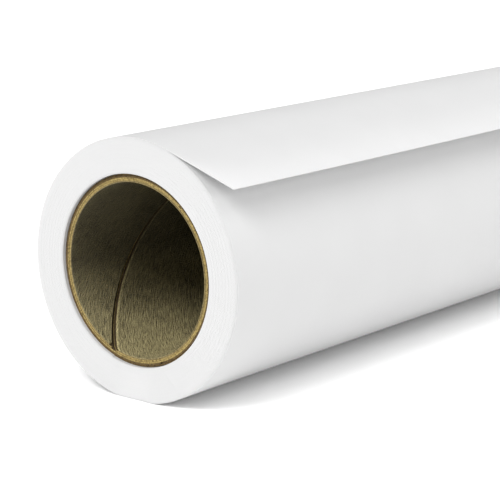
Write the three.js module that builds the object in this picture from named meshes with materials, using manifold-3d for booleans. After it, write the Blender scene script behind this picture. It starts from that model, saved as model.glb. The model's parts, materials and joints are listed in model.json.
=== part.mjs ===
// A roll of seamless background paper: one long white sheet wound on a spiral paperboard core,
// with the sheet's free end standing off the outermost turn.
// Millimetres, +Z up. The roll lies along X and rests on z = 0, centred on the origin in X and Y.
// The free end leaves over the top and points to -Y.
import * as THREE from "three";
import { mergeVertices } from "three/addons/utils/BufferGeometryUtils.js";
import Module from "manifold-3d";

// The sheet
const ROLL_WIDTH = 1350;
const ROLL_RADIUS = 38.5;
const PAPER_BORE_RADIUS = 28;
const PAPER_THICKNESS = 0.2;
const RESTING_FLAT = 14;
const ROLL_SIDES = 60;

// The free end: the angle from +Y at which the sheet leaves the roll, and how far it stands out
const DEPARTURE_ANGLE = THREE.MathUtils.degToRad(108.4);
const FREE_LENGTH = 26.3;
const FREE_END_CLEARANCE = 0.3;

// The core, from its bore outwards
const CORE_BORE_RADIUS = 25.4;
const CORE_RECESS = 1.4;
const PLY_THICKNESS = 0.45;
const GLUE_LINE = 0.05;
const PLY_PITCH = PLY_THICKNESS + GLUE_LINE;
const BODY_PLIES = 3;
const CORE_SIDES = 24;

// The liners are ribbons wound in a helix, butted along an open seam
const LINER_LEAD = 144;
const SEAM_GAP = 1;
const INNER_SEAM_ANGLE = THREE.MathUtils.degToRad(199);
const OUTER_SEAM_ANGLE = THREE.MathUtils.degToRad(19);

// The tape tabs that fix the start of the sheet to the core
const TAPE_THICKNESS = 0.07;
const TAPE_WIDTH = 50;
const TAPE_SIDES = 4;
const TAPE_FIRST_SIDE = 3;
const TAPE_END_DISTANCE = 60;

const CORE_LENGTH = ROLL_WIDTH - 2 * CORE_RECESS;
const AXIS_HEIGHT = Math.sqrt(ROLL_RADIUS ** 2 - (RESTING_FLAT / 2) ** 2);
const SIDE_ANGLE = (2 * Math.PI) / CORE_SIDES;
const LINER_INNER_RADIUS = CORE_BORE_RADIUS;
const LINER_OUTER_RADIUS = CORE_BORE_RADIUS + (BODY_PLIES + 1) * PLY_PITCH;
const CORE_OUTER_RADIUS = LINER_OUTER_RADIUS + PLY_THICKNESS;
const TAPE_INNER_RADIUS = (CORE_OUTER_RADIUS + PAPER_BORE_RADIUS - TAPE_THICKNESS) / 2;

const wasm = await Module();
wasm.setup();

function whitePaper() {
  return new THREE.MeshStandardMaterial({ color: 0xf3f3f1, roughness: 0.85, metalness: 0 });
}

function kraftLiner() {
  return new THREE.MeshStandardMaterial({ color: 0x94804f, roughness: 0.8, metalness: 0 });
}

function greyboard() {
  return new THREE.MeshStandardMaterial({ color: 0xa8905c, roughness: 0.9, metalness: 0 });
}

function paperTape() {
  return new THREE.MeshStandardMaterial({ color: 0xd9c9a0, roughness: 0.6, metalness: 0 });
}

// A corner of the core's polygon: sides are tangent to the circle, so every ring nests in the next.
function corner(radius, index) {
  const angle = index * SIDE_ANGLE;
  const reach = radius / Math.cos(SIDE_ANGLE / 2);
  return new THREE.Vector2(reach * Math.cos(angle), reach * Math.sin(angle));
}

// The corners from one side of the polygon to another, both ends included.
function corners(radius, first, count) {
  return Array.from({ length: count + 1 }, (_, step) => corner(radius, first + step));
}

// A shape drawn in Y and Z, carried along X and centred on x = 0.
function prismAlongX(shape, length, curveSegments = 1) {
  const geometry = new THREE.ExtrudeGeometry(shape, { depth: length, bevelEnabled: false, curveSegments });
  geometry.translate(0, 0, -length / 2);
  const yAxis = new THREE.Vector3(0, 1, 0);
  const zAxis = new THREE.Vector3(0, 0, 1);
  const xAxis = new THREE.Vector3(1, 0, 0);
  return geometry.applyMatrix4(new THREE.Matrix4().makeBasis(yAxis, zAxis, xAxis));
}

// A closed ring of the core: one ply whose butt seam is shut by glue.
function tubePly(innerRadius) {
  const shape = new THREE.Shape(corners(innerRadius + PLY_THICKNESS, 0, CORE_SIDES - 1));
  shape.holes.push(new THREE.Path(corners(innerRadius, 0, CORE_SIDES - 1)));
  return prismAlongX(shape, CORE_LENGTH);
}

// A closed mesh as a manifold solid.
function solidOf(geometry) {
  const bare = geometry.clone();
  bare.deleteAttribute("normal");
  bare.deleteAttribute("uv");
  const merged = mergeVertices(bare);
  const vertProperties = merged.getAttribute("position").array;
  const triVerts = new Uint32Array(merged.index.array);
  return new wasm.Manifold(new wasm.Mesh({ numProp: 3, vertProperties, triVerts }));
}

// A manifold solid as a closed mesh.
function geometryOf(solid) {
  const mesh = solid.getMesh();
  const geometry = new THREE.BufferGeometry();
  geometry.setAttribute("position", new THREE.BufferAttribute(mesh.vertProperties, 3));
  geometry.setIndex(new THREE.BufferAttribute(mesh.triVerts, 1));
  geometry.computeVertexNormals();
  return geometry;
}

// A ribbon wound in a helix with an open butt seam, longer than the core at both ends.
function helicalRibbon(innerRadius, seamAngle) {
  const firstCorner = Math.floor(seamAngle / SIDE_ANGLE) - 2 * CORE_SIDES;
  const cornerCount = Math.ceil(CORE_LENGTH / LINER_LEAD + 3) * CORE_SIDES;
  const positions = [];
  const indices = [];
  for (let step = 0; step <= cornerCount; step += 1) {
    const index = firstCorner + step;
    const turned = index * SIDE_ANGLE - seamAngle;
    const left = -CORE_LENGTH / 2 + (LINER_LEAD * turned) / (2 * Math.PI) + SEAM_GAP / 2;
    const right = left + LINER_LEAD - SEAM_GAP;
    const inside = corner(innerRadius, index);
    const outside = corner(innerRadius + PLY_THICKNESS, index);
    positions.push(left, inside.x, inside.y, right, inside.x, inside.y);
    positions.push(right, outside.x, outside.y, left, outside.x, outside.y);
  }
  for (let step = 0; step < cornerCount; step += 1) {
    for (let edge = 0; edge < 4; edge += 1) {
      const here = 4 * step + edge;
      const beside = 4 * step + ((edge + 1) % 4);
      indices.push(here, beside, beside + 4, here, beside + 4, here + 4);
    }
  }
  const last = 4 * cornerCount;
  indices.push(0, 2, 1, 0, 3, 2);
  indices.push(last, last + 1, last + 2, last, last + 2, last + 3);
  const geometry = new THREE.BufferGeometry();
  geometry.setAttribute("position", new THREE.Float32BufferAttribute(positions, 3));
  geometry.setIndex(indices);
  return geometry;
}

// A liner: the helical ribbon with both ends cut square to the core's length.
function linerPly(innerRadius, seamAngle) {
  const across = 4 * ROLL_RADIUS;
  const cutLength = new THREE.BoxGeometry(CORE_LENGTH, across, across);
  return geometryOf(solidOf(helicalRibbon(innerRadius, seamAngle)).intersect(solidOf(cutLength)));
}

// A tape tab: a patch that lies round a few sides of the core.
function tapeTab() {
  const outer = corners(TAPE_INNER_RADIUS + TAPE_THICKNESS, TAPE_FIRST_SIDE, TAPE_SIDES);
  const inner = corners(TAPE_INNER_RADIUS, TAPE_FIRST_SIDE, TAPE_SIDES).reverse();
  return prismAlongX(new THREE.Shape([...outer, ...inner]), TAPE_WIDTH);
}

// The tight turns of the sheet, settled on a narrow flat along the bottom.
function woundPaper() {
  const halfFlat = Math.asin(RESTING_FLAT / 2 / ROLL_RADIUS);
  const bottom = -Math.PI / 2;
  const shape = new THREE.Shape();
  shape.absarc(0, 0, ROLL_RADIUS, bottom + halfFlat, bottom + 2 * Math.PI - halfFlat, false);
  shape.closePath();
  const outline = new THREE.Shape(shape.getPoints(ROLL_SIDES));
  outline.holes.push(new THREE.Path(corners(PAPER_BORE_RADIUS, 0, CORE_SIDES - 1)));
  return prismAlongX(outline, ROLL_WIDTH);
}

function named(name, geometry, material) {
  const mesh = new THREE.Mesh(geometry, material);
  mesh.name = name;
  return mesh;
}

function buildCore() {
  const core = new THREE.Group();
  core.add(named("core_inner_liner", linerPly(LINER_INNER_RADIUS, INNER_SEAM_ANGLE), kraftLiner()));
  for (let ply = 1; ply <= BODY_PLIES; ply += 1) {
    core.add(named(`core_ply_${ply + 1}`, tubePly(CORE_BORE_RADIUS + ply * PLY_PITCH), greyboard()));
  }
  core.add(named("core_outer_liner", linerPly(LINER_OUTER_RADIUS, OUTER_SEAM_ANGLE), kraftLiner()));
  return core;
}

function buildTapes() {
  const tapes = new THREE.Group();
  const endX = ROLL_WIDTH / 2 - TAPE_END_DISTANCE;
  const places = { near: -endX, middle: 0, far: endX };
  for (const [place, x] of Object.entries(places)) {
    const tab = named(`start_tape_${place}`, tapeTab(), paperTape());
    tab.position.x = x;
    tapes.add(tab);
  }
  return tapes;
}

// The free end lies along the tangent at the line where the sheet leaves the roll.
function buildFreeEnd() {
  const tangent = new THREE.Group();
  tangent.position.set(0, ROLL_RADIUS * Math.cos(DEPARTURE_ANGLE), ROLL_RADIUS * Math.sin(DEPARTURE_ANGLE));
  tangent.rotation.x = DEPARTURE_ANGLE - Math.PI / 2;
  const sheet = new THREE.BoxGeometry(ROLL_WIDTH, FREE_LENGTH, PAPER_THICKNESS);
  const flap = named("free_end", sheet, whitePaper());
  flap.position.set(0, -FREE_LENGTH / 2, FREE_END_CLEARANCE + PAPER_THICKNESS / 2);
  tangent.add(flap);
  return tangent;
}

const roll = new THREE.Group();
roll.position.z = AXIS_HEIGHT;
roll.add(buildCore());
roll.add(buildTapes());
roll.add(named("wound_paper", woundPaper(), whitePaper()));
roll.add(buildFreeEnd());

export default roll;
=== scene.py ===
import json
import math

import bpy
import numpy as np
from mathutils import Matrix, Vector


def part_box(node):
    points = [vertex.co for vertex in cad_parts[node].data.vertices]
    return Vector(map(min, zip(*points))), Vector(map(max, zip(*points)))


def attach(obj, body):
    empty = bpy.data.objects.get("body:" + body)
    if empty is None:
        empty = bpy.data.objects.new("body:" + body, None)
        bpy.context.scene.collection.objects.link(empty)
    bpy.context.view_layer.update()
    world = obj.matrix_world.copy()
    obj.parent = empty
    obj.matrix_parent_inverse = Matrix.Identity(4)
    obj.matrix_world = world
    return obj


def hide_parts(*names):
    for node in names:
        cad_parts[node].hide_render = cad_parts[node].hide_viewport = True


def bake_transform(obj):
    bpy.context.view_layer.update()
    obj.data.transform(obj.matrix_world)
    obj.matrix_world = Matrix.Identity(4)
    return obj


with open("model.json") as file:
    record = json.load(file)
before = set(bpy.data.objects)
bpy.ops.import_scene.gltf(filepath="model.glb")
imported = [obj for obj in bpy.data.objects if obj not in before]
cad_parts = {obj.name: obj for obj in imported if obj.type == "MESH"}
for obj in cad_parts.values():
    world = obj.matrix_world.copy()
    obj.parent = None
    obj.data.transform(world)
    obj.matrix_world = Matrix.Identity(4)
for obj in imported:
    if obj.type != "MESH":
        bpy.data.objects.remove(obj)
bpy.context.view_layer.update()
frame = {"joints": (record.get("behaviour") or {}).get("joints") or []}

# ---------------------------------------------------------------------------------------------
# The camera stands a little above the roll, off its near end and to the side that the free end
# points to, and looks along the roll through a long lens.
NEAR_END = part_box("wound_paper")[0][0]
ROLL_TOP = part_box("wound_paper")[1][2]
ROLL_RADIUS = 0.0385
AXIS_HEIGHT = ROLL_TOP - ROLL_RADIUS

camera_data = bpy.data.cameras.new("camera")
camera_data.sensor_width = 36
camera_data.lens = 139.5
camera_data.clip_start = 0.01
camera_data.clip_end = 50
camera = bpy.data.objects.new("camera", camera_data)
camera.location = (NEAR_END - 0.3937, -0.3625, AXIS_HEIGHT + 0.1254)
camera.rotation_euler = (math.radians(90 - 12.57), 0, math.radians(-50.9))
bpy.context.collection.objects.link(camera)
bpy.context.scene.camera = camera
bpy.context.scene.view_settings.view_transform = "Standard"


# ---------------------------------------------------------------------------------------------
# The stage: a white table far larger than the roll, an even pale room, and three broad
# soft lights. The key shines down the roll from off its near end, into the core's bore. A low fill
# stands on the side that the free end points to, and a high one on that side lifts the table.
def linear(hex_colour, alpha=1.0):
    """An sRGB hex colour as linear RGBA."""
    levels = [int(hex_colour[start:start + 2], 16) / 255 for start in (1, 3, 5)]
    return [v / 12.92 if v <= 0.04045 else ((v + 0.055) / 1.055) ** 2.4 for v in levels] + [alpha]


def add_node(tree, kind, settings=None, inputs=None):
    """A node of that kind with its settings; an input is a value or another node's output."""
    node = tree.nodes.new(kind)
    for key, value in (settings or {}).items():
        setattr(node, key, value)
    for key, value in (inputs or {}).items():
        if isinstance(value, bpy.types.NodeSocket):
            tree.links.new(value, node.inputs[key])
        else:
            node.inputs[key].default_value = value
    return node


def new_material(name, roughness, specular=0.5):
    """An empty material with one Principled shader: returns the material, its tree and the shader."""
    material = bpy.data.materials.new(name)
    material.use_nodes = True
    tree = material.node_tree
    shader = tree.nodes["Principled BSDF"]
    shader.inputs["Roughness"].default_value = roughness
    shader.inputs["Specular IOR Level"].default_value = specular
    return material, tree, shader


TABLE_SIZE = 12
TABLE_WHITE = "#ffffff"
ROOM_STRENGTH = 0.42

table_material, _, table_shader = new_material("matt_white_table", 1.0, specular=0.0)
table_shader.inputs["Base Color"].default_value = linear(TABLE_WHITE)
half_table = TABLE_SIZE / 2
table_mesh = bpy.data.meshes.new("table")
table_corners = [(-half_table, -half_table, 0), (half_table, -half_table, 0)]
table_corners += [(half_table, half_table, 0), (-half_table, half_table, 0)]
table_mesh.from_pydata(table_corners, [], [(0, 1, 2, 3)])
table_mesh.materials.append(table_material)
table = bpy.data.objects.new("table", table_mesh)
bpy.context.collection.objects.link(table)

room = bpy.data.worlds.new("white_room")
room.use_nodes = True
room.node_tree.nodes["Background"].inputs["Color"].default_value = (1, 1, 1, 1)
room.node_tree.nodes["Background"].inputs["Strength"].default_value = ROOM_STRENGTH
bpy.context.scene.world = room


def soft_light(name, strength, spread, azimuth, elevation):
    """Light from far off over a wide angle. Azimuth 0 comes from -X and 90 from -Y, in degrees."""
    light = bpy.data.lights.new(name, "SUN")
    light.energy = strength * math.pi
    light.angle = math.radians(spread)
    lamp = bpy.data.objects.new(name, light)
    lamp.rotation_euler = (0, math.radians(elevation - 90), math.radians(azimuth))
    bpy.context.collection.objects.link(lamp)


soft_light("key_softbox", strength=0.86, spread=30, azimuth=-3, elevation=47)
soft_light("low_fill_softbox", strength=0.39, spread=40, azimuth=112, elevation=13)
soft_light("high_fill_softbox", strength=0.32, spread=40, azimuth=90, elevation=62)


# ---------------------------------------------------------------------------------------------
# The core: five plies of kraft board, each a ribbon wound in a helix and glued to the next. The
# innermost ply's butt seam stands open, with its leading edge pressed down behind a low crest.
# Both ends are cut square and stop a little short of the paper.
CORE_STAND_OUT = 0.0004  # how far each end comes out past the frame's core
CORE_HALF_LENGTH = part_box("core_ply_2")[1][0] + CORE_STAND_OUT
CORE_BORE_RADIUS = 0.0254
PLY_THICKNESS = 0.00045
PLY_PITCH = 0.0005
PLY_LEAD = 0.144
COLUMNS_PER_TURN = 72
SEAM_MEAN_SHARE = 0.62
SEAM_SWING_SHARE = 0.38
LIP_WIDTH = 0.0007
CREST_SHARE = 0.35
CHAMFER_LENGTH = 0.0005
BORE_WAVER = 0.00003
SEAM_BAND_WIDTH = 0.0011
UPPER_BORE_LIGHTNESS = 0.26


def slab(name, face, back, uv, materials):
    """A thin closed body between two grids of points. Its border is a strip of quads.

    The first material covers both faces and the second the border.
    """
    rows, columns = face.shape[:2]
    count = rows * columns
    grid = np.arange(count).reshape(rows, columns)
    quads = np.stack([grid[:-1, :-1], grid[1:, :-1], grid[1:, 1:], grid[:-1, 1:]], axis=-1)
    quads = quads.reshape(-1, 4)
    border = np.concatenate([grid[:-1, 0], grid[-1, :-1], grid[:0:-1, -1], grid[0, :0:-1]])
    after = np.roll(border, -1)
    strip = np.stack([after, border, border + count, after + count], axis=-1)
    faces = np.concatenate([quads, quads[:, ::-1] + count, strip])
    mesh = bpy.data.meshes.new(name)
    mesh.from_pydata(np.concatenate([face.reshape(-1, 3), back.reshape(-1, 3)]), [], faces)
    for material in materials:
        mesh.materials.append(material)
    slots = np.zeros(len(faces), np.int32)
    slots[2 * len(quads):] = len(materials) - 1
    mesh.polygons.foreach_set("material_index", slots)
    mesh.polygons.foreach_set("use_smooth", np.ones(len(faces), bool))
    both = np.concatenate([uv.reshape(-1, 2), uv.reshape(-1, 2)]).astype(np.float32)
    mesh.uv_layers.new(name="sheet").data.foreach_set("uv", both[faces.ravel()].ravel())
    mesh.set_sharp_from_angle(angle=math.radians(35))
    piece = bpy.data.objects.new(name, mesh)
    bpy.context.collection.objects.link(piece)
    return piece


def around(x, radius, angle):
    """Points at that distance from the roll's axis, at an angle from +Y towards +Z."""
    x, radius, angle = np.broadcast_arrays(x, radius, angle)
    return np.stack([x, radius * np.cos(angle), AXIS_HEIGHT + radius * np.sin(angle)], axis=-1)


def crowded_to_ends(count, power=3):
    """Numbers from 0 to 1, closer together near both ends."""
    middle = np.linspace(-1, 1, count)
    return 0.5 + 0.5 * np.sign(middle) * (1 - (1 - np.abs(middle)) ** power)


def wound_ply(name, radius, seam_angle, seam_gap, lip, chamfer, trim, across, materials):
    """A ribbon in a helix: x rises by the lead with each turn, from one open seam to the next.

    The seam narrows to about a quarter of its gap half a turn on from the near end, and the
    ribbon is cut where it passes the core's ends. Along its leading edge the board is pressed
    down into the seam, behind a low crest, and chamfer eases the bore's edge at each end. In the UV
    map, u runs along the ribbon and v across it from its leading edge, both in metres.
    """
    half = CORE_HALF_LENGTH - trim
    per_turn = PLY_LEAD / (2 * math.pi)
    first = (-half - PLY_LEAD + seam_gap) / per_turn
    last = (half - seam_gap) / per_turn
    count = int((last - first) / (2 * math.pi) * COLUMNS_PER_TURN)
    sliver = 0.0001
    turned = np.linspace(first + sliver / per_turn, last - sliver / per_turn, count)[:, None]
    swing = np.cos(turned + CORE_HALF_LENGTH / per_turn)
    gap = seam_gap * (SEAM_MEAN_SHARE + SEAM_SWING_SHARE * swing)
    left = turned * per_turn + gap / 2
    right = left + PLY_LEAD - gap
    low, high = np.maximum(left, -half), np.minimum(right, half)
    x = low + (high - low) * crowded_to_ends(across)
    angle = turned + CORE_HALF_LENGTH / per_turn + seam_angle
    from_seam = x - left
    crest = CREST_SHARE * np.exp(-((from_seam - LIP_WIDTH) / (CREST_SHARE * LIP_WIDTH)) ** 2)
    lift = lip * (crest - np.clip(1 - from_seam / LIP_WIDTH, 0, 1))
    eased = chamfer * np.clip(1 - (half - np.abs(x)) / CHAMFER_LENGTH, 0, 1) ** 2
    waver = BORE_WAVER * np.sin(3 * angle + 40 * x)
    inner = around(x, radius - lift + eased + waver, angle)
    outer = around(x, radius + PLY_THICKNESS + waver, angle)
    helix = math.atan2(PLY_LEAD, 2 * math.pi * radius)
    along = radius * angle * math.cos(helix) + x * math.sin(helix)
    uv = np.stack([along, from_seam * math.cos(helix)], axis=-1)
    return slab(name, outer, inner, uv, materials)


def fibre_board(name, dark, light, roughness, fibre_length, fibre_width, speck, bump):
    """Kraft paperboard: streaks of fibre along the ribbon, small specks, and slow blotches of colour.

    Fibre and speck sizes are the board's own, in metres. The blotches are about 14 mm across.
    Returns the material, its tree and the node that mixes its colour.
    """
    material, tree, shader = new_material(name, roughness, specular=0.4)
    place = add_node(tree, "ShaderNodeTexCoord").outputs["UV"]
    stretch = add_node(tree, "ShaderNodeMapping", {}, {
        "Vector": place, "Scale": (1 / fibre_length, 1 / fibre_width, 1),
    })
    fibres = add_node(tree, "ShaderNodeTexNoise", {}, {
        "Vector": stretch.outputs[0], "Scale": 1.0, "Detail": 4.0, "Roughness": 0.6,
    })
    specks = add_node(tree, "ShaderNodeTexNoise", {}, {
        "Vector": place, "Scale": 1 / speck, "Detail": 2.0,
    })
    blotches = add_node(tree, "ShaderNodeTexNoise", {}, {
        "Vector": place, "Scale": 70.0, "Detail": 3.0,
    })
    grain = add_node(tree, "ShaderNodeMix", {"data_type": "FLOAT"}, {
        "Factor": 0.42, "A": fibres.outputs["Fac"], "B": specks.outputs["Fac"],
    })
    both = add_node(tree, "ShaderNodeMix", {"data_type": "FLOAT"}, {
        "Factor": 0.15, "A": grain.outputs["Result"], "B": blotches.outputs["Fac"],
    })
    ramp = add_node(tree, "ShaderNodeValToRGB", {}, {"Fac": both.outputs["Result"]})
    ramp.color_ramp.elements[0].position = 0.36
    ramp.color_ramp.elements[0].color = linear(dark)
    ramp.color_ramp.elements[1].position = 0.59
    ramp.color_ramp.elements[1].color = linear(light)
    relief = add_node(tree, "ShaderNodeBump", {}, {
        "Strength": 1.0, "Distance": bump, "Height": grain.outputs["Result"],
    })
    tree.links.new(ramp.outputs["Color"], shader.inputs["Base Color"])
    tree.links.new(relief.outputs["Normal"], shader.inputs["Normal"])
    return material, tree, ramp


def seam_edge_bands(material, tree, ramp, edge_tone, crest):
    """Darker along the ribbon's leading edge by the seam, then a band in the crest colour, then plain
    board. A crest lighter than plain board is a painted highlight along the crest.
    """
    place = add_node(tree, "ShaderNodeTexCoord").outputs["UV"]
    across = add_node(tree, "ShaderNodeSeparateXYZ", {}, {"Vector": place}).outputs["Y"]
    reach = add_node(tree, "ShaderNodeMapRange", {}, {
        "Value": across, "From Max": SEAM_BAND_WIDTH,
    })
    band = add_node(tree, "ShaderNodeValToRGB", {}, {"Fac": reach.outputs["Result"]})
    plain_board = "#bebebe"
    stops = [(0.0, edge_tone), (0.08, edge_tone), (0.16, crest), (0.55, crest), (0.75, plain_board)]
    elements = band.color_ramp.elements
    for place_in_band, _ in stops[1:-1]:
        elements.new(place_in_band)
    for element, (place_in_band, colour) in zip(elements, stops):
        element.position = place_in_band
        element.color = linear(colour)
    tinted = add_node(
        tree, "ShaderNodeMix", {"data_type": "RGBA", "blend_type": "MULTIPLY"}, {"Factor": 1.0}
    )
    tree.links.new(ramp.outputs["Color"], tinted.inputs["A"])
    tree.links.new(band.outputs["Color"], tinted.inputs["B"])
    tree.links.new(tinted.outputs["Result"], tree.nodes["Principled BSDF"].inputs["Base Color"])
    return material, tree, tinted


def shaded_bore(material, tree, colour):
    """Darkens the board from the bore's bottom line up to its axis, and evenly above that.

    This is no mark on the real board. It stands in for the deep shade of a long tube, which the
    stage's lights alone leave too light, and it turns with the roll.
    """
    place = add_node(tree, "ShaderNodeTexCoord").outputs["Object"]
    height = add_node(tree, "ShaderNodeSeparateXYZ", {}, {"Vector": place}).outputs["Z"]
    lightness = add_node(tree, "ShaderNodeMapRange", {}, {
        "Value": height,
        "From Min": AXIS_HEIGHT - CORE_BORE_RADIUS,
        "From Max": AXIS_HEIGHT - 0.05 * CORE_BORE_RADIUS,
        "To Min": 1.0,
        "To Max": UPPER_BORE_LIGHTNESS,
    })
    shaded = add_node(
        tree, "ShaderNodeMix", {"data_type": "RGBA", "blend_type": "MULTIPLY"}, {"Factor": 1.0}
    )
    tree.links.new(colour.outputs["Result"], shaded.inputs["A"])
    tree.links.new(lightness.outputs["Result"], shaded.inputs["B"])
    tree.links.new(shaded.outputs["Result"], tree.nodes["Principled BSDF"].inputs["Base Color"])
    return material


# Machine-glazed kraft: a soft sheen and fine fibres along the ribbon. The faces between the plies
# are dark with glue, and darker still as painted shade for the seam's groove. The cut ends are dull
# and fibrous: tan in the bore's own ply and the two next to it, and darker in the two outermost,
# as painted shade in the corner where the core meets the paper.
liner_face = shaded_bore(*seam_edge_bands(
    *fibre_board(
        "machine_glazed_kraft_liner", "#41361f", "#ffeeb0", roughness=0.5,
        fibre_length=0.003, fibre_width=0.00045, speck=0.0004, bump=0.0010,
    ),
    # The white crest is a painted highlight along the liner seam's crest.
    edge_tone="#9c9484", crest="#ffffff",
))
liner_cut = seam_edge_bands(
    *fibre_board(
        "sawn_kraft_liner_edge", "#66552f", "#bda86e", roughness=0.7,
        fibre_length=0.0015, fibre_width=0.0005, speck=0.0005, bump=0.0002,
    ),
    edge_tone="#6e6455", crest="#bebebe",
)[0]
# These faces show only on the floor of the liner's seam. Their dark colour is partly glue and partly
# painted shade for that groove.
board_face = fibre_board(
    "glued_core_board", "#2f2517", "#4d3f29", roughness=0.8,
    fibre_length=0.006, fibre_width=0.0006, speck=0.0004, bump=0.0001,
)[0]
board_cut = fibre_board(
    "sawn_core_board_end", "#554521", "#a8935a", roughness=0.85,
    fibre_length=0.0018, fibre_width=0.0005, speck=0.0005, bump=0.0002,
)[0]
# Painted shade: these darker cut ends stand for the shade in the corner by the paper's bore.
painted_shade_cut = fibre_board(
    "core_board_end_in_painted_shade", "#382b18", "#6b5733", roughness=0.9,
    fibre_length=0.0018, fibre_width=0.0005, speck=0.0005, bump=0.0002,
)[0]

INNER_SEAM = math.radians(290)
inner_liner = wound_ply(
    "inner_liner", CORE_BORE_RADIUS, INNER_SEAM, seam_gap=0.0019, lip=0.00007,
    chamfer=0.00014, trim=0.0, across=40, materials=[liner_face, liner_cut],
)
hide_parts("core_inner_liner")
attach(inner_liner, "roll")

# The first body ply's seam lies under the liner's, so the groove there is two plies deep. Each row
# is a ply's seam angle, its seam's gap, how far its ends are trimmed, and its cut ends' material.
body_plies = [
    (INNER_SEAM, 0.0009, 0.00008, board_cut),
    (math.radians(130), 0.0001, 0.0, board_cut),
    (math.radians(250), 0.0001, 0.00006, painted_shade_cut),
]
for ply, (seam_angle, seam_gap, trim, cut) in enumerate(body_plies, start=1):
    board = wound_ply(
        f"body_ply_{ply + 1}", CORE_BORE_RADIUS + ply * PLY_PITCH, seam_angle, seam_gap,
        lip=0.0, chamfer=0.0, trim=trim, across=6, materials=[board_face, cut],
    )
    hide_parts(f"core_ply_{ply + 1}")
    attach(board, "roll")

OUTER_SEAM = math.radians(109)
outer_liner = wound_ply(
    "outer_liner", CORE_BORE_RADIUS + 4 * PLY_PITCH, OUTER_SEAM, seam_gap=0.0010, lip=0.0,
    chamfer=0.0, trim=0.0002, across=6, materials=[liner_face, painted_shade_cut],
)
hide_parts("core_outer_liner")
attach(outer_liner, "roll")


# ---------------------------------------------------------------------------------------------
# The sheet: one web of matt white paper, wound tight on the core. Its edges make the end faces,
# where groups of turns stand a hair in or out. The roll's weight presses its lowest turns flat.
WEB_HALF_WIDTH = -NEAR_END
PAPER_BORE_RADIUS = 0.028
PAPER_PITCH = 0.0002
PAPER_THICKNESS = 0.00019
TURNS = (ROLL_RADIUS - PAPER_BORE_RADIUS) / PAPER_PITCH
LOOSE_GAP = 0.0002
LOOSE_SIDE = math.radians(50)
SLOW_STEP = 0.000007
MIDDLE_STEP = 0.000005
QUICK_STEP = 0.0000025
EDGE_EASING = 0.0002
SHEET_WAVE = 0.00002
HINGE = frame["joints"][0]
HINGE_POINT = np.array(HINGE["pos_m"])
DEPARTURE = math.atan2(HINGE_POINT[2] - AXIS_HEIGHT, HINGE_POINT[1])


def settled(radius, angle):
    """A radius, drawn in over the resting flat: most at the outermost turn, nothing at the core."""
    down = -np.sin(angle)
    past_table = np.maximum(0, ROLL_RADIUS * down - AXIS_HEIGHT)
    pressed = np.where(down > 0.5, past_table / np.maximum(down, 0.5), 0)
    share = np.clip((radius - PAPER_BORE_RADIUS) / (ROLL_RADIUS - PAPER_BORE_RADIUS), 0, 1) ** 1.5
    return radius - pressed * share


def end_step(turn):
    """How far a turn's edge stands out at the roll's ends, by its number counted from outside.

    Three waves over the turns, less an easing over the innermost three and the outermost five.
    """
    slow = SLOW_STEP * np.sin(1.1 * turn + 0.6) + MIDDLE_STEP * np.sin(2.9 * turn + 1.1)
    innermost = EDGE_EASING * np.clip(1 - (TURNS - turn) / 3, 0, 1) ** 2
    outermost = EDGE_EASING * np.clip(1 - turn / 5, 0, 1) ** 2
    eased = innermost + outermost
    return slow + QUICK_STEP * np.sin(7.7 * turn + 2.0) - eased


def loosened(turn, angle):
    """How far the turns stand off the core on one side: most at the first turn, nothing at the last."""
    return LOOSE_GAP * turn / TURNS * np.clip(np.cos(angle - LOOSE_SIDE), 0, 1) ** 2


def slow_waves(height, x, angle):
    """Waves of that height in the sheet: a product of two sines along and around the roll."""
    return height * np.sin(9 * x + 2 * angle) * np.sin(23 * x - 3 * angle + 1)


def wound_sheet(name, first_turn, last_turn, columns_per_turn, x, ripple, materials):
    """The sheet between two turns, counted inwards from the line where its free end leaves.

    The outer face's radius falls by the pitch with each turn; ripple adds slow waves to it.
    """
    count = int(round((last_turn - first_turn) * columns_per_turn)) + 1
    turn = np.linspace(last_turn, first_turn, count)[:, None]
    angle = DEPARTURE - 2 * math.pi * turn
    shift = end_step(turn) * x / WEB_HALF_WIDTH
    outer = settled(ROLL_RADIUS - PAPER_PITCH * turn, angle) + loosened(turn, angle)
    waves = slow_waves(ripple, x, angle)
    face = around(x + shift, outer + waves, angle)
    back = around(x + shift, outer + waves - PAPER_THICKNESS, angle)
    run = -2 * math.pi * turn * (ROLL_RADIUS - PAPER_PITCH * turn / 2)
    uv = np.stack(np.broadcast_arrays(run, x), axis=-1)
    return slab(name, face, back, uv, materials)


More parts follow.
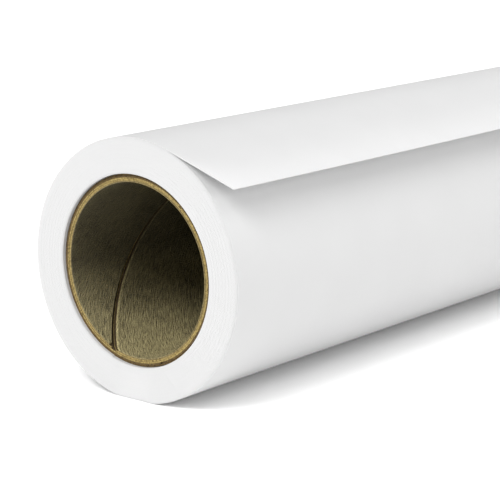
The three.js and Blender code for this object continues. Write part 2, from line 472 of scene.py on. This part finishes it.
def white_paper(name, colour, grain_width, relief_height, mottling, seen_through):
    """Matt uncoated paper: a faint tooth in relief and slow, barely visible changes of tone.

    grain_width is the tooth's, in metres. The changes of tone are about 22 mm across.
    seen_through is the share of each face that lets light through to the other.
    """
    material, tree, shader = new_material(name, 0.82, specular=0.3)
    place = add_node(tree, "ShaderNodeTexCoord").outputs["UV"]
    tooth = add_node(tree, "ShaderNodeTexNoise", {}, {
        "Vector": place, "Scale": 1 / grain_width, "Detail": 3.0, "Roughness": 0.6,
    })
    cloud = add_node(tree, "ShaderNodeTexNoise", {}, {"Vector": place, "Scale": 45.0, "Detail": 4.0})
    tone = add_node(tree, "ShaderNodeMapRange", {}, {
        "Value": cloud.outputs["Fac"], "From Min": 0.3, "From Max": 0.7,
        "To Min": 1 - mottling, "To Max": 1.0,
    })
    tint = add_node(
        tree, "ShaderNodeMix", {"data_type": "RGBA", "blend_type": "MULTIPLY"}, {"Factor": 1.0}
    )
    tint.inputs["A"].default_value = linear(colour)
    tree.links.new(tone.outputs["Result"], tint.inputs["B"])
    relief = add_node(tree, "ShaderNodeBump", {}, {
        "Strength": 0.5, "Distance": relief_height, "Height": tooth.outputs["Fac"],
    })
    tree.links.new(tint.outputs["Result"], shader.inputs["Base Color"])
    tree.links.new(relief.outputs["Normal"], shader.inputs["Normal"])
    if seen_through > 0:
        glow = add_node(tree, "ShaderNodeBsdfTranslucent", {}, {"Color": tint.outputs["Result"]})
        sheet = add_node(tree, "ShaderNodeMixShader", {}, {0: seen_through, 1: shader.outputs[0]})
        tree.links.new(glow.outputs[0], sheet.inputs[2])
        tree.links.new(sheet.outputs[0], tree.nodes["Material Output"].inputs["Surface"])
    return material


# Uncoated paper is matt and neutral, and its cut edge is as white, with no tooth to see. The first
# two colours are darker than real white paper, to suit lights that burn the table out to white. A
# single sheet lets light through, so the free end's shade on the roll is a soft, light one.
paper_face = white_paper(
    "uncoated_white_paper", "#c4c4c4", grain_width=0.0011, relief_height=0.00003,
    mottling=0.02, seen_through=0.0,
)
paper_cut = white_paper(
    "slit_paper_edge", "#cbcbcb", grain_width=0.0009, relief_height=0.00001,
    mottling=0.02, seen_through=0.0,
)
single_sheet = white_paper(
    "single_sheet_of_white_paper", "#e8e8e8", grain_width=0.0011, relief_height=0.00003,
    mottling=0.02, seen_through=0.42,
)

INNER_TURNS_X = np.linspace(-WEB_HALF_WIDTH, WEB_HALF_WIDTH, 3)
FINE_X = np.linspace(-WEB_HALF_WIDTH, WEB_HALF_WIDTH, 121)
SEAM_TURN = 0.495
OVERLAP_TURN = 1.08

inner_turns = wound_sheet(
    "inner_turns", OVERLAP_TURN, TURNS, columns_per_turn=96, x=INNER_TURNS_X, ripple=0.0,
    materials=[paper_face, paper_cut],
)
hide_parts("wound_paper")
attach(inner_turns, "roll")

outer_turn = wound_sheet(
    "outer_turn", SEAM_TURN, OVERLAP_TURN, columns_per_turn=180, x=FINE_X, ripple=SHEET_WAVE,
    materials=[paper_face, paper_cut],
)
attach(outer_turn, "roll")


# ---------------------------------------------------------------------------------------------
# The free end: the last of the same sheet, which comes over the top of the roll and stands off
# it along the tangent.
FREE_LENGTH = 0.0260
FREE_ROWS = 40
TOP_ROWS = 90
EDGE_CURL = 0.0003


def free_end_sheet(name, materials):
    """Half a turn over the roll's back and top, then a straight run along the tangent."""
    turn = np.linspace(SEAM_TURN, 0, TOP_ROWS, endpoint=False)[:, None]
    angle = DEPARTURE - 2 * math.pi * turn
    outer = settled(ROLL_RADIUS - PAPER_PITCH * turn, angle) + loosened(turn, angle)
    waves = slow_waves(SHEET_WAVE, FINE_X, angle)
    shift = end_step(turn) * FINE_X / WEB_HALF_WIDTH
    wound_face = around(FINE_X + shift, outer + waves, angle)
    wound_back = around(FINE_X + shift, outer + waves - PAPER_THICKNESS, angle)
    reach = np.linspace(0, FREE_LENGTH, FREE_ROWS)[:, None]
    outwards = np.array([0, math.cos(DEPARTURE), math.sin(DEPARTURE)])
    forwards = np.array([0, -math.sin(DEPARTURE), math.cos(DEPARTURE)])
    start = around(FINE_X + end_step(0) * FINE_X / WEB_HALF_WIDTH, ROLL_RADIUS, DEPARTURE)[None, :, :]
    curl = slow_waves(SHEET_WAVE, FINE_X, DEPARTURE)
    curl = curl + (reach / FREE_LENGTH) ** 2 * EDGE_CURL * np.sin(14 * FINE_X + 0.8)
    free_face = start + reach[..., None] * forwards + curl[..., None] * outwards
    free_back = free_face - PAPER_THICKNESS * outwards
    face = np.concatenate([wound_face, free_face])
    back = np.concatenate([wound_back, free_back])
    wound_run = -2 * math.pi * turn * (ROLL_RADIUS - PAPER_PITCH * turn / 2)
    run = np.concatenate([wound_run, reach])
    uv = np.stack(np.broadcast_arrays(run, FINE_X), axis=-1)
    return slab(name, face, back, uv, materials), forwards


free_end, forwards = free_end_sheet("free_end_sheet", [single_sheet, paper_cut])
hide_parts("free_end")
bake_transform(free_end)


# ---------------------------------------------------------------------------------------------
# Tape tabs: paper tape that fixes the start of the sheet to the core, out of sight under the
# first turn.
TAPE_THICKNESS = 0.00006
TAPE_RADIUS = 0.02789
TAPE_FROM = math.radians(45)
TAPE_TO = math.radians(105)

# Creped paper tape: a buff web with fine wrinkles across its length, with painted shade that makes it a
# little darker in the folds.
CREPE_PITCH = 0.0005
CREPE_STRETCH = 0.2
tape_film, tape_tree, tape_shader = new_material("creped_paper_tape", 0.6)
tape_place = add_node(tape_tree, "ShaderNodeTexCoord").outputs["UV"]
tape_stretch = add_node(tape_tree, "ShaderNodeMapping", {}, {
    "Vector": tape_place, "Scale": (1 / CREPE_PITCH, CREPE_STRETCH / CREPE_PITCH, 1),
})
tape_folds = add_node(tape_tree, "ShaderNodeTexNoise", {}, {
    "Vector": tape_stretch.outputs[0], "Scale": 1.0, "Detail": 3.0,
})
tape_tone = add_node(tape_tree, "ShaderNodeValToRGB", {}, {"Fac": tape_folds.outputs["Fac"]})
tape_tone.color_ramp.elements[0].position = 0.3
tape_tone.color_ramp.elements[0].color = linear("#c3b084")
tape_tone.color_ramp.elements[1].position = 0.7
tape_tone.color_ramp.elements[1].color = linear("#e0d2ab")
tape_relief = add_node(tape_tree, "ShaderNodeBump", {}, {
    "Strength": 0.6, "Distance": 0.00005, "Height": tape_folds.outputs["Fac"],
})
tape_tree.links.new(tape_tone.outputs["Color"], tape_shader.inputs["Base Color"])
tape_tree.links.new(tape_relief.outputs["Normal"], tape_shader.inputs["Normal"])
for place in ("near", "middle", "far"):
    low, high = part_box(f"start_tape_{place}")
    tape_x = np.linspace(low[0], high[0], 12)
    tape_angle = np.linspace(TAPE_FROM, TAPE_TO, 24)[:, None]
    tape = slab(
        f"tape_{place}",
        around(tape_x, TAPE_RADIUS + TAPE_THICKNESS, tape_angle),
        around(tape_x, TAPE_RADIUS, tape_angle),
        np.stack(np.broadcast_arrays(tape_angle * TAPE_RADIUS, tape_x), axis=-1),
        [tape_film],
    )
    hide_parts(f"start_tape_{place}")
    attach(tape, "roll")
